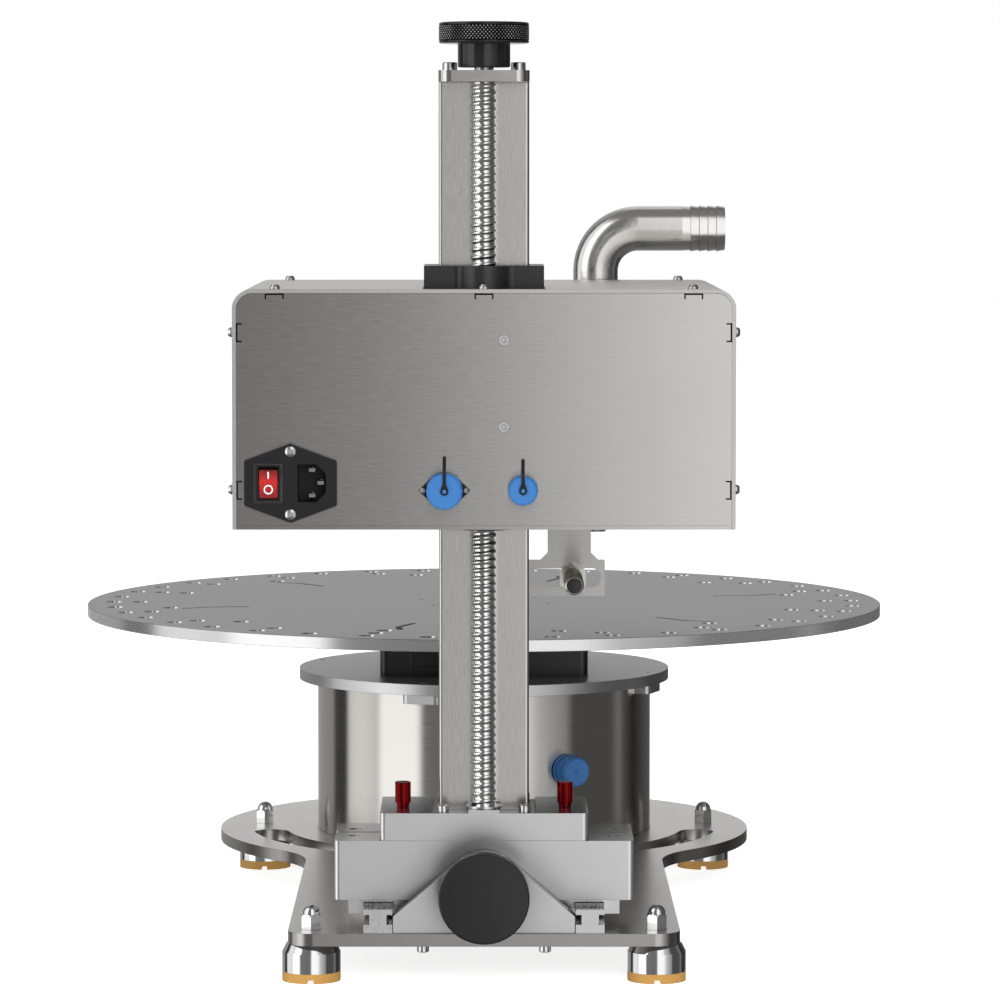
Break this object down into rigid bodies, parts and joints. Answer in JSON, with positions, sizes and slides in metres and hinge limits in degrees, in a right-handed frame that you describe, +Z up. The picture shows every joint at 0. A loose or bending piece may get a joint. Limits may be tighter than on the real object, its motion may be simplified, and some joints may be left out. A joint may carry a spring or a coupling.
{
  "type": "honey filling machine",
  "caption": "Benchtop honey dosing machine: a gear pump head on a screw-lifted column and cross slide, over a motor-driven rotary bottle table.",
  "frame": {"origin": "centre of the machine's plan outline, on the surface that it stands on", "axes": "+Z up; +Y from the hand knob and mains inlet side to the turntable; +X to the side that the hose end points to"},
  "size_m": [0.5699, 0.808, 0.5967],
  "materials": {
    "base_plate": "brushed",
    "foot_bodies": "polished",
    "foot_pads": "matte",
    "dome_nuts": "polished",
    "linear_rails": "ground",
    "screw_supports": "bead blasted",
    "cross_bearings": "ground",
    "drum_shell": "brushed",
    "drum_plate": "brushed",
    "base_screws": "polished",
    "platform_housing": "black anodised",
    "table_motor": "painted",
    "drum_socket": "satin",
    "drum_cap": "satin",
    "turntable": "bead blasted",
    "table_hub": "ground",
    "table_pinion": "ground",
    "cross_screw": "polished",
    "cross_knob": "black anodised",
    "bearing_blocks": "ground",
    "carriage_block_near": "bead blasted",
    "carriage_block_far": "bead blasted",
    "cross_nut": "ground",
    "upper_block": "bead blasted",
    "column_foot": "brushed",
    "column_screws": "polished",
    "column": "brushed",
    "column_cap": "brushed",
    "lift_bearings": "ground",
    "clamp_screw_left": "red anodised",
    "clamp_screw_right": "red anodised",
    "lift_screw": "polished",
    "lift_knob": "black anodised",
    "slider_block": "satin",
    "lift_nut": "ground",
    "housing_cover": "brushed",
    "back_plate": "brushed",
    "front_plate": "brushed",
    "floor_plate": "brushed",
    "head_screws": "polished",
    "power_inlet": "matte",
    "inlet_pins": "polished",
    "sockets": "matte",
    "cap_straps": "matte",
    "pump_body": "machined",
    "pump_cover": "machined",
    "pump_motor": "painted",
    "outlet_nozzle": "brushed",
    "control_panel": "matte",
    "display_glass": "gloss",
    "control_electronics": "matte",
    "sensor_bracket": "brushed",
    "rocker_switch": "gloss",
    "socket_cap_left": "satin",
    "socket_cap_right": "satin",
    "drive_gear": "ground",
    "idler_gear": "ground",
    "inlet_elbow": "brushed",
    "start_button": "gloss",
    "sensor": "nickel plated"
  },
  "bodies": {
    "base": {"base_plate": "base_plate", "foot_bodies": "foot_bodies", "foot_pads": "foot_pads", "dome_nuts": "dome_nuts", "linear_rails": "linear_rails", "screw_supports": "screw_supports", "cross_bearings": "cross_bearings", "drum_shell": "drum_shell", "drum_plate": "drum_plate", "base_screws": "base_screws", "platform_housing": "platform_housing", "table_motor": "table_motor", "drum_socket": "drum_socket"},
    "drum_connector_cap": {"drum_cap": "drum_cap"},
    "table": {"turntable": "turntable", "table_hub": "table_hub"},
    "table_pinion": {"table_pinion": "table_pinion"},
    "cross_screw": {"cross_screw": "cross_screw", "cross_knob": "cross_knob"},
    "carriage": {"bearing_blocks": "bearing_blocks", "carriage_block_near": "carriage_block_near", "carriage_block_far": "carriage_block_far", "cross_nut": "cross_nut", "upper_block": "upper_block", "column_foot": "column_foot", "column_screws": "column_screws", "column": "column", "column_cap": "column_cap", "lift_bearings": "lift_bearings"},
    "clamp_left": {"clamp_screw_left": "clamp_screw_left"},
    "clamp_right": {"clamp_screw_right": "clamp_screw_right"},
    "lift_screw": {"lift_screw": "lift_screw", "lift_knob": "lift_knob"},
    "head": {"slider_block": "slider_block", "lift_nut": "lift_nut", "housing_cover": "housing_cover", "back_plate": "back_plate", "front_plate": "front_plate", "floor_plate": "floor_plate", "head_screws": "head_screws", "power_inlet": "power_inlet", "inlet_pins": "inlet_pins", "sockets": "sockets", "cap_straps": "cap_straps", "pump_body": "pump_body", "pump_cover": "pump_cover", "pump_motor": "pump_motor", "outlet_nozzle": "outlet_nozzle", "control_panel": "control_panel", "display_glass": "display_glass", "control_electronics": "control_electronics", "sensor_bracket": "sensor_bracket"},
    "rocker": {"rocker_switch": "rocker_switch"},
    "left_cap": {"socket_cap_left": "socket_cap_left"},
    "right_cap": {"socket_cap_right": "socket_cap_right"},
    "pump_drive": {"drive_gear": "drive_gear"},
    "pump_idler": {"idler_gear": "idler_gear"},
    "inlet_pipe": {"inlet_elbow": "inlet_elbow"},
    "start_button": {"start_button": "start_button"},
    "sensor": {"sensor": "sensor"}
  },
  "joints": [
    {"name": "carriage_slide", "type": "slide", "parent": "base", "child": "carriage", "axis": [0, 1, 0], "range_m": [0, 0.1]},
    {"name": "cross_screw_turn", "type": "hinge", "parent": "base", "child": "cross_screw", "pos_m": [0, -0.344, 0.058], "axis": [0, 1, 0], "range_deg": [-1, 7201]},
    {"name": "clamp_left_turn", "type": "hinge", "parent": "carriage", "child": "clamp_left", "pos_m": [-0.051, -0.328, 0.1056], "axis": [0, 0, 1], "range_deg": [0, 360]},
    {"name": "clamp_right_turn", "type": "hinge", "parent": "carriage", "child": "clamp_right", "pos_m": [0.051, -0.328, 0.1056], "axis": [0, 0, 1], "range_deg": [0, 360]},
    {"name": "head_lift", "type": "slide", "parent": "carriage", "child": "head", "axis": [0, 0, 1], "range_m": [-0.025, 0.105]},
    {"name": "lift_screw_turn", "type": "hinge", "parent": "carriage", "child": "lift_screw", "pos_m": [0, -0.344, 0.3], "axis": [0, 0, 1], "range_deg": [-1801, 7561]},
    {"name": "table_turn", "type": "hinge", "parent": "base", "child": "table", "pos_m": [0, 0.119, 0.19], "axis": [0, 0, 1], "continuous": true},
    {"name": "pinion_turn", "type": "hinge", "parent": "base", "child": "table_pinion", "pos_m": [0, 0.083, 0.16], "axis": [0, 0, 1], "continuous": true},
    {"name": "drum_cap_turn", "type": "hinge", "parent": "base", "child": "drum_connector_cap", "pos_m": [0.05744, 0.01364, 0.0856], "axis": [0.4787, -0.878, 0], "range_deg": [0, 360]},
    {"name": "rocker_tilt", "type": "hinge", "parent": "head", "child": "rocker", "pos_m": [-0.1331, -0.371, 0.3126], "axis": [-1, 0, 0], "range_deg": [0, 14]},
    {"name": "left_cap_turn", "type": "hinge", "parent": "head", "child": "left_cap", "pos_m": [-0.02445, -0.378, 0.30805], "axis": [0, -1, 0], "range_deg": [0, 360]},
    {"name": "right_cap_turn", "type": "hinge", "parent": "head", "child": "right_cap", "pos_m": [0.0241, -0.378, 0.3084], "axis": [0, -1, 0], "range_deg": [0, 360]},
    {"name": "pump_drive_turn", "type": "hinge", "parent": "head", "child": "pump_drive", "pos_m": [0.087, -0.104, 0.34], "axis": [0, 1, 0], "continuous": true},
    {"name": "pump_idler_turn", "type": "hinge", "parent": "head", "child": "pump_idler", "pos_m": [0.063, -0.104, 0.34], "axis": [0, 1, 0], "continuous": true},
    {"name": "inlet_swivel", "type": "hinge", "parent": "head", "child": "inlet_pipe", "pos_m": [0.075, -0.099, 0.4], "axis": [0, 0, 1], "range_deg": [-120, 120]},
    {"name": "start_press", "type": "slide", "parent": "head", "child": "start_button", "axis": [0, -1, 0], "range_m": [0, 0.003], "stiffness_N_per_m": 400},
    {"name": "sensor_slide", "type": "slide", "parent": "head", "child": "sensor", "axis": [1, 0, 0], "range_m": [-0.015, 0.011]}
  ],
  "couplings": [
    {"joint": "cross_screw_turn", "follows": "carriage_slide", "rad_per_m": 1256.6},
    {"joint": "lift_screw_turn", "follows": "head_lift", "rad_per_m": 1256.6},
    {"joint": "pinion_turn", "follows": "table_turn", "ratio": -4},
    {"joint": "pump_idler_turn", "follows": "pump_drive_turn", "ratio": -1}
  ]
}
